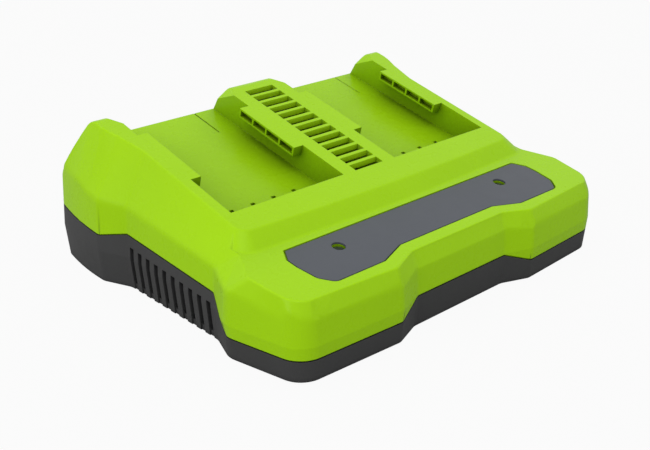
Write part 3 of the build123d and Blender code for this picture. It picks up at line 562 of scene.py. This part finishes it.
def form_columns(depth):
    """Rounded columns of the skirt, the front ledge, the side and the raised deck's front."""
    def console(place):
        """A place of a path, lifted onto the console."""
        return Vector((place.x, place.y, console_height(place.y, depth)))

    def deck(place):
        """A place of a path, lifted onto the deck."""
        return Vector((place.x, place.y, deck_height(place.y, depth)))

    heights = [crease_height(index, depth) for index in range(len(outline))]
    far = next(index for index, (_, on_back) in enumerate(heights) if on_back)
    creases = [wall_point(*outline[index], height, depth) for index, (height, _) in enumerate(heights)]
    edge = upper_edge(depth, creases[far], far - meet + 1)
    skirt, front, side, hump = [], [], [], []
    for index, crease in enumerate(creases):
        place, facing = outline[index]
        if index <= meet:
            above = console(ledge[index][0])
        elif index <= far:
            above = edge[index - meet]
        else:
            inner = crease.xy - facing * aim
            above = Vector((*inner, back_height(inner.y, depth)))
        cut = min(crease_cut, widest_share * (above - crease).length)
        if index > far:
            cut = crease_cut - min(1.0, (index - far) / fade_steps) * (crease_cut - back_cut)
        below = [wall_point(place, facing, z, depth) for z in (column_foot_z, widest_z)]
        skirt.append(below + rounded(crease, wall_point(place, facing, crease.z - aim, depth), above, cut))
    for index, (place, facing) in enumerate(ledge):
        inner = console(place - facing * aim)
        front.append(rounded(console(place), creases[index], inner, ledge_cut * fading(index, meet)))
    pivot = console(ledge[meet][0])
    share = (pivot - creases[meet]).length / ((pivot - creases[meet]).length + (edge[0] - pivot).length)
    for index in range(meet, far + 1):
        top = edge[index - meet]
        middle = creases[index].lerp(top, share) if index > meet else pivot
        soft = brow_cut * fading(index, far)
        side.append([middle] + rounded(top, middle, top - Vector((aim, 0.0, 0.0)), soft))
    for index, ((low, low_facing), (high, high_facing)) in enumerate(zip(foot, brow)):
        low_corner, high_corner = console(low), deck(high)
        before, behind = console(low + low_facing * aim), deck(high - high_facing * aim)
        soft = foot_cut * fading(index, len(foot) - 1)
        hump.append(rounded(low_corner, before, high_corner, soft)
                    + rounded(high_corner, low_corner, behind, brow_cut))
    return {"skirt": skirt, "front": front, "side": side, "hump": hump}, far


# %% Join the columns into a closed form
form_weld, cad_weld, cut_weld = 0.02, 0.001, 0.003


def form_half(form, columns, side):
    """The faces of one half; side is 1 for the right and -1 for its mirror image."""
    def corner(spot):
        """A point of the form, mirrored for the left half."""
        return form.verts.new((spot.x * side * MM, spot.y * MM, spot.z * MM))

    def strip(one, two):
        """The faces between two neighbouring columns."""
        for row in range(len(one) - 1):
            form.faces.new((one[row], two[row], two[row + 1], one[row + 1]))

    half = {name: [[corner(spot) for spot in column] for column in group] for name, group in columns.items()}
    skirt = half["skirt"]
    tops = [column[-1] for column in skirt]
    # The ledge and the side hang on the tops of the skirt's columns, from column first on.
    for group, first in ((skirt, None), (half["front"], 0), (half["side"], meet), (half["hump"], None)):
        for index in range(len(group) - 1):
            one, two = group[index], group[index + 1]
            if first is not None:
                one, two = [tops[first + index]] + one, [tops[first + index + 1]] + two
            strip(one, two)
    return half


def outer_form(name, depth):
    """The whole outer form, set in from the CAD surface by depth millimetres."""
    columns, far = form_columns(depth)
    form = bmesh.new()
    right, left = form_half(form, columns, 1), form_half(form, columns, -1)

    def row(group, pick, first=0):
        """One point of every column of a group, on the right and on the left."""
        return [[column[pick] for column in half[group][first:]] for half in (right, left)]

    (ledge_right, ledge_left), (foot_right, foot_left) = row("front", -1), row("hump", 0)
    (brow_right, brow_left), (side_right, side_left) = row("hump", -1), row("side", -1)
    (back_right, back_left), (base_right, base_left) = row("skirt", -1, far), row("skirt", 0)
    form.faces.new(ledge_right + foot_right[::-1] + foot_left + ledge_left[::-1])
    form.faces.new(brow_right + brow_left[::-1])
    form.faces.new((side_right[0], side_left[0], brow_left[-1], brow_right[-1]))
    for index in range(len(side_right) - 1):
        form.faces.new((side_right[index], side_right[index + 1], side_left[index + 1], side_left[index]))
    end_right, end_left = right["side"][-1][0], left["side"][-1][0]
    form.faces.new([side_right[-1], end_right] + back_right + back_left[::-1] + [end_left, side_left[-1]])
    form.faces.new(base_right + base_left[::-1])
    bmesh.ops.remove_doubles(form, verts=form.verts, dist=form_weld * MM)
    bmesh.ops.dissolve_degenerate(form, edges=form.edges, dist=form_weld * MM)
    bmesh.ops.recalc_face_normals(form, faces=form.faces)
    return mesh_object(name, form)


# %% [markdown]
# ## Cutting one solid with another
#
# The cover keeps everything that the CAD gives it: bays, rails, louvres, posts and the
# hollow inside. Its CAD mesh is merged into a closed one, a thin skin of the form is added
# where the form stands a little prouder, and then the form trims the whole.

# %% Helpers for solids
def mesh_object(name, shape):
    """An object made of a finished bmesh."""
    mesh = bpy.data.meshes.new(name)
    shape.to_mesh(mesh)
    shape.free()
    piece = bpy.data.objects.new(name, mesh)
    bpy.context.collection.objects.link(piece)
    return piece


def merged_copy(name, node):
    """A closed copy of a CAD node, whose own mesh is loose triangles."""
    shape = bmesh.new()
    shape.from_mesh(parts[node].data)
    bmesh.ops.remove_doubles(shape, verts=shape.verts, dist=cad_weld * MM)
    return mesh_object(name, shape)


def block(name, low, high):
    """A box between two corners, in millimetres."""
    shape = bmesh.new()
    bmesh.ops.create_cube(shape, size=1.0)
    for vertex in shape.verts:
        vertex.co = Vector([(low[a] + (high[a] - low[a]) * (vertex.co[a] + 0.5)) * MM for a in range(3)])
    return mesh_object(name, shape)


def split_faces(piece):
    """Cut every face in triangles, because a boolean joins what was one face before."""
    shape = bmesh.new()
    shape.from_mesh(piece.data)
    bmesh.ops.triangulate(shape, faces=shape.faces)
    shape.to_mesh(piece.data)
    shape.free()


def combine(piece, other, operation):
    """Change piece by a boolean with other, which is used up."""
    split_faces(piece)
    split_faces(other)
    step = piece.modifiers.new("combine", "BOOLEAN")
    step.operation, step.solver, step.object = operation, "MANIFOLD", other
    bake(piece)
    bpy.data.objects.remove(other)
    return piece


def bake(piece):
    """Turn the modifiers of a piece into its own mesh."""
    scene_state = bpy.context.evaluated_depsgraph_get()
    result = bpy.data.meshes.new_from_object(piece.evaluated_get(scene_state))
    piece.modifiers.clear()
    piece.data = result
    return piece


# %% Trim the cover to its soft form
# In these boxes the form stands prouder than the CAD.
deck_front = ((-83.5, -48.3, 36.0), (83.5, -34.5, 48.0))
right_shoulder = ((90.0, -76.0, 26.0), (belly_x, -46.0, 41.0))
left_shoulder = ((-belly_x, -76.0, 26.0), (-90.0, -46.0, 41.0))
skin_outside, skin_inside, trim_depth = -0.1, 2.0, 0.05
cover = merged_copy("cover", "top_cover")
for low, high in (deck_front, right_shoulder, left_shoulder):
    patch = combine(outer_form("patch", skin_outside), block("zone", low, high), "INTERSECT")
    combine(patch, outer_form("patch_core", skin_inside), "DIFFERENCE")
    combine(cover, patch, "UNION")
combine(cover, outer_form("soft_form", trim_depth), "INTERSECT")
print("cover:", len(cover.data.vertices), "points")

# %% [markdown]
# ## Rows of equal cuts
#
# The louvres over the fan, the terminal slots and the cooling slots are rows of one shape
# at an even step. One Geometry Nodes tree makes every row: a line of points carries a
# copy of the shape, and the copies become real geometry that a boolean can use.

# %% One tree for every row
def row_tree():
    """A node group that repeats the incoming shape along a line."""
    tree = bpy.data.node_groups.new("even_row", "GeometryNodeTree")
    sockets = tree.interface
    sockets.new_socket("Geometry", in_out="OUTPUT", socket_type="NodeSocketGeometry")
    given_sockets = (("Geometry", "Geometry"), ("Count", "Int"), ("Step", "Vector"), ("Finish", "Material"))
    for name, kind in given_sockets:
        sockets.new_socket(name, in_out="INPUT", socket_type="NodeSocket" + kind)
    row = Network(tree)
    given = row.node("NodeGroupInput").outputs
    line = row.node("GeometryNodeMeshLine", None, {"Count": given["Count"], "Offset": given["Step"]})
    copies = row.node("GeometryNodeInstanceOnPoints", None,
                      {"Points": line.outputs["Mesh"], "Instance": given["Geometry"]})
    real = row.node("GeometryNodeRealizeInstances", None, {"Geometry": copies.outputs["Instances"]})
    finish = row.node("GeometryNodeSetMaterial", None,
                      {"Geometry": real.outputs["Geometry"], "Material": given["Finish"]})
    row.node("NodeGroupOutput", None, {"Geometry": finish.outputs["Geometry"]})
    return tree


even_row = row_tree()


def repeat(piece, count, step, finish):
    """A row of count copies of a piece, step millimetres apart, as one mesh."""
    modifier = piece.modifiers.new("row", "NODES")
    modifier.node_group = even_row
    values = {"Count": count, "Step": [part * MM for part in step], "Finish": finish}
    for socket in even_row.interface.items_tree:
        if socket.in_out == "INPUT" and socket.name in values:
            modifier[socket.identifier] = values[socket.name]
    return bake(piece)


print("row tree nodes:", len(even_row.nodes))

# %% A cutter drawn from the side
def side_prism(name, points, low_x, high_x):
    """A prism along x whose outline is a list of (y, z), in millimetres."""
    shape = bmesh.new()
    ends = [[shape.verts.new((x * MM, y * MM, z * MM)) for y, z in points] for x in (low_x, high_x)]
    for index in range(len(points)):
        after = (index + 1) % len(points)
        shape.faces.new((ends[0][index], ends[0][after], ends[1][after], ends[1][index]))
    shape.faces.new(ends[0])
    shape.faces.new(ends[1])
    bmesh.ops.recalc_face_normals(shape, faces=shape.faces)
    return mesh_object(name, shape)


# %% Open the louvres under their slats
# Each opening keeps a steep slat behind it, and the air passes under the slat.
louvre_count, louvre_pitch, louvre_opening, louvre_half_width = 13, 6.1, 4.3, 8.4
slat_tip, slat_depth, under_slat, slat_foot, through = 4.0, 2.3, 1.3, 2.9, 7.0
front_gap, front_depth, rear_gap = 0.05, 0.6, 0.03
deck_step = louvre_pitch * rise(deck_tilt)
# Each corner is: distance behind the opening's front edge, and depth below the deck.
louvre_outline = [(front_gap, front_depth), (front_gap, through), (louvre_opening + under_slat, through),
                  (louvre_opening + under_slat, slat_foot), (slat_tip, slat_depth),
                  (louvre_opening - rear_gap, rear_gap)]
louvre_corners = [(lip_y + y, deck_height(lip_y + y, depth)) for y, depth in louvre_outline]
louvre = side_prism("louvre_cut", louvre_corners, -louvre_half_width, louvre_half_width)
repeat(louvre, louvre_count, (0.0, louvre_pitch, deck_step), finishes["green_plastic"])
combine(cover, louvre, "DIFFERENCE")
print("louvres:", louvre_count)

# %% Widen the mouths of the terminal slots
bay_middle, slot_pitch, slot_count, mouth_half_width = 47.0, 11.6, 4, 1.05
mouth_front, mouth_back, mouth_low, mouth_high = lip_y + 13.0, lip_y + 18.6, 36.0, 41.5
mouth_corners = [(mouth_front, mouth_low), (mouth_back, mouth_low), (mouth_back, mouth_high),
                 (mouth_front, mouth_high)]
for side in (-1, 1):
    start = side * bay_middle - slot_pitch * (slot_count - 1) / 2
    mouth = side_prism("slot_mouth", mouth_corners, start - mouth_half_width, start + mouth_half_width)
    repeat(mouth, slot_count, (slot_pitch, 0.0, 0.0), finishes["green_plastic"])
    combine(cover, mouth, "DIFFERENCE")
print("terminal slots:", slot_count, "in each bay")

# %% Smooth the rounds and keep the flats flat
flat_within, round_up_to = 0.4, 19.0


def smooth_rounds(piece, limit=round_up_to):
    """Smooth shading up to an angle in degrees, weighted so that large flats stay flat."""
    shape = bmesh.new()
    shape.from_mesh(piece.data)
    bmesh.ops.remove_doubles(shape, verts=shape.verts, dist=cut_weld * MM)
    bmesh.ops.dissolve_limit(shape, angle_limit=math.radians(flat_within), verts=shape.verts,
                             edges=shape.edges)
    shape.to_mesh(piece.data)
    shape.free()
    piece.data.shade_smooth()
    piece.data.set_sharp_from_angle(angle=math.radians(limit))
    weighting = piece.modifiers.new("weighting", "WEIGHTED_NORMAL")
    weighting.keep_sharp = True
    weighting.weight = 100
    return bake(piece)


smooth_rounds(cover)
dress(cover, "green_plastic")
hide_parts("top_cover")
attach(cover, "housing")

# %% [markdown]
# ## The label panel
#
# The grey panel lies in a shallow recess. Its outline is drawn in a little, so that a dark
# line shows round it, and its two windows close up to the width of the bores below. Its
# sharp edges get a narrow bevel, which catches the light.

# %% Fit the panel in its recess
window_x, window_y, window_reach = 50.7, -57.8, 5
window_closing, outline_move, panel_flat_within, upright = 0.8, -0.4, 1.0, 0.5
panel = merged_copy("panel", "label_panel")
shape = bmesh.new()
shape.from_mesh(panel.data)
bmesh.ops.dissolve_limit(shape, angle_limit=math.radians(panel_flat_within), verts=shape.verts,
                         edges=shape.edges)
moves = {}
for vertex in shape.verts:
    walls = [face.normal for face in vertex.link_faces if abs(face.normal.z) < upright]
    if walls:
        outward = sum(walls, Vector()).xy.normalized()
        window = Vector((math.copysign(window_x, vertex.co.x), window_y)) * MM
        beside_window = (vertex.co.xy - window).length < window_reach * MM
        moves[vertex] = Vector((*outward, 0.0)) * (window_closing if beside_window else outline_move) * MM
for vertex, move in moves.items():
    vertex.co += move
shape.to_mesh(panel.data)
shape.free()
print("panel corners moved:", len(moves))

# %% Bevel the panel's edges
edge_width, panel_round_up_to = 0.15, 40.0
panel_edge = panel.modifiers.new("edge", "BEVEL")
panel_edge.width = edge_width * MM
panel_edge.segments = 2
panel_edge.limit_method = "ANGLE"
bake(panel)
smooth_rounds(panel, panel_round_up_to)
dress(panel, "grey_panel")
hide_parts("label_panel")
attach(panel, "housing")
print("panel points:", len(panel.data.vertices))

# %% [markdown]
# ## The light pipes
#
# Seen at a slant, a window shows the green wall of its bore and then the top of the light
# pipe, whose dark tint paints the shade at the bottom of the bore. The pipe's top is raised
# a little in its bore, parallel to the console.

# %% Raise the tops of the light pipes
top_within, raised_by = 3.6, 1.2
for hand in ("left", "right"):
    node = "light_pipe_" + hand
    pipe = merged_copy("pipe_" + hand, node)
    top = [vertex for vertex in pipe.data.vertices
           if console_height(vertex.co.y / MM) - vertex.co.z / MM < top_within]
    for vertex in top:
        vertex.co.z += raised_by * MM
    dress(pipe, "clear_plastic")
    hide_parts(node)
    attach(pipe, "housing")
    print(node, "top points raised:", len(top))

# %% [markdown]
# ## The base tray
#
# The black tray takes the same rounded outline as the cover above it. The cooling slots in
# its sides run down through the lower edge, so that dust and water can fall out, and the row
# tree cuts these mouths too.

# %% Open the cooling slots at the foot
base = combine(merged_copy("base", "base_shell"), outer_form("base_form", trim_depth), "INTERSECT")
vent_count, vent_pitch, vent_half_width = 10, 6.15, 1.45
vent_middle = (waist_front_y + waist_back_y) / 2
vent_inside_x, vent_outside_x, vent_low, vent_high = 93.7, 99.0, -1.0, 5.0
for side in (-1, 1):
    low_x, high_x = sorted((side * vent_inside_x, side * vent_outside_x))
    start = vent_middle - vent_pitch * (vent_count - 1) / 2
    mouth = block("vent_mouth", (low_x, start - vent_half_width, vent_low),
                  (high_x, start + vent_half_width, vent_high))
    repeat(mouth, vent_count, (0.0, vent_pitch, 0.0), finishes["black_plastic"])
    combine(base, mouth, "DIFFERENCE")
smooth_rounds(base)
dress(base, "black_plastic")
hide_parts("base_shell")
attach(base, "housing")
print("base points:", len(base.data.vertices))

# %% [markdown]
# ## Floor, light and camera
#
# A pale floor and an even white surround keep the object's own colours. The soft lamps
# stand high in front, to the left, overhead and behind, so a face that leans back shows
# lighter than one that stands upright, and the sides that face right stay a little darker.

# %% Floor
floor_reach, floor_white = 4.0, 0.94


def studio_floor():
    """A pale floor that is white to the camera but keeps a soft shadow."""
    finish = Finish("studio_floor")
    tone = finish.blend(finish.noise(0.4), (0.32, 0.32, 0.32), (0.36, 0.36, 0.36))
    finish.shade(Base_Color=tone, Roughness=0.6, Specular_IOR_Level=0.1)
    white = finish.node("ShaderNodeEmission", None, {"Color": (1.0, 1.0, 1.0), "Strength": 1.0})
    ray = finish.node("ShaderNodeLightPath")
    seen = Signal(finish, ray.outputs["Is Camera Ray"]) * floor_white
    mix = finish.node("ShaderNodeMixShader", None,
                      {"Fac": seen, 1: finish.shader.outputs[0], 2: white.outputs[0]})
    finish.feed(finish.output.inputs["Surface"], mix.outputs[0])
    return finish.material


floor_mesh = bpy.data.meshes.new("studio_floor")
floor_corners = [(x * floor_reach, y * floor_reach, 0) for x, y in ((-1, -1), (1, -1), (1, 1), (-1, 1))]
floor_mesh.from_pydata(floor_corners, [], [(0, 1, 2, 3)])
floor = bpy.data.objects.new("studio_floor", floor_mesh)
bpy.context.collection.objects.link(floor)
floor.data.materials.append(studio_floor())
print("floor:", 2 * floor_reach, "m wide")

# %% Surround
# The surround lights the object less than it shows itself, directly or through clear plastic.
surround_light, surround_shown = 0.8, 1.0
world = bpy.data.worlds.new("studio")
bpy.context.scene.world = world
world.use_nodes = True
sky = Network(world.node_tree)
ray = sky.node("ShaderNodeLightPath")
shown = sky.node("ShaderNodeMath", {"operation": "MAXIMUM"},
                 {0: ray.outputs["Is Camera Ray"], 1: ray.outputs["Is Transmission Ray"]})
strength = sky.node("ShaderNodeMapRange", None,
                    {"Value": shown.outputs[0], "To Min": surround_light, "To Max": surround_shown})
background = world.node_tree.nodes["Background"]
sky.feed(background.inputs["Color"], (1.0, 1.0, 1.0))
sky.feed(background.inputs["Strength"], strength.outputs[0])
print("surround nodes:", len(world.node_tree.nodes))

# %% Soft lamps
lamp_target = (0.0, 0.0, 0.03)


def soft_lamp(name, place, size, power):
    """A square area lamp that points at the object."""
    lamp = bpy.data.lights.new(name, "AREA")
    lamp.shape = "SQUARE"
    lamp.size = size
    lamp.energy = power
    holder = bpy.data.objects.new(name, lamp)
    bpy.context.collection.objects.link(holder)
    holder.location = place
    holder.rotation_euler = (Vector(lamp_target) - Vector(place)).to_track_quat("-Z", "Y").to_euler()


soft_lamp("top_lamp", (-0.2, -0.13, 1.3), size=1.0, power=1.2)
soft_lamp("front_lamp", (-0.48, -0.6, 1.12), size=0.8, power=3.0)
soft_lamp("left_lamp", (-1.25, -0.13, 0.42), size=0.8, power=4.0)
soft_lamp("edge_lamp", (-0.3, 0.66, 1.15), size=0.4, power=0.8)
print("lamps:", len(bpy.data.lights))

# %% Camera
camera_place = (-0.3026, -0.3251, 0.2099)
heading, height, roll = (math.radians(degrees) for degrees in (-42.46, 24.01, -0.25))
camera_data = bpy.data.cameras.new("camera")
camera_data.lens = 56.35
camera_data.sensor_width = 36.0
camera_data.clip_start = 0.01
camera = bpy.data.objects.new("camera", camera_data)
bpy.context.collection.objects.link(camera)
back_axis = Vector((math.sin(heading) * math.cos(height), -math.cos(heading) * math.cos(height),
                    math.sin(height)))
right_axis = Vector((math.cos(heading), math.sin(heading), 0.0))
up_axis = back_axis.cross(right_axis)
turned_right = right_axis * math.cos(roll) + up_axis * math.sin(roll)
turned_up = up_axis * math.cos(roll) - right_axis * math.sin(roll)
axes = Matrix((turned_right, turned_up, back_axis)).transposed()
camera.matrix_world = Matrix.Translation(camera_place) @ axes.to_4x4()
bpy.context.scene.camera = camera
bpy.context.scene.view_settings.view_transform = "Standard"
print("camera at", camera_place)
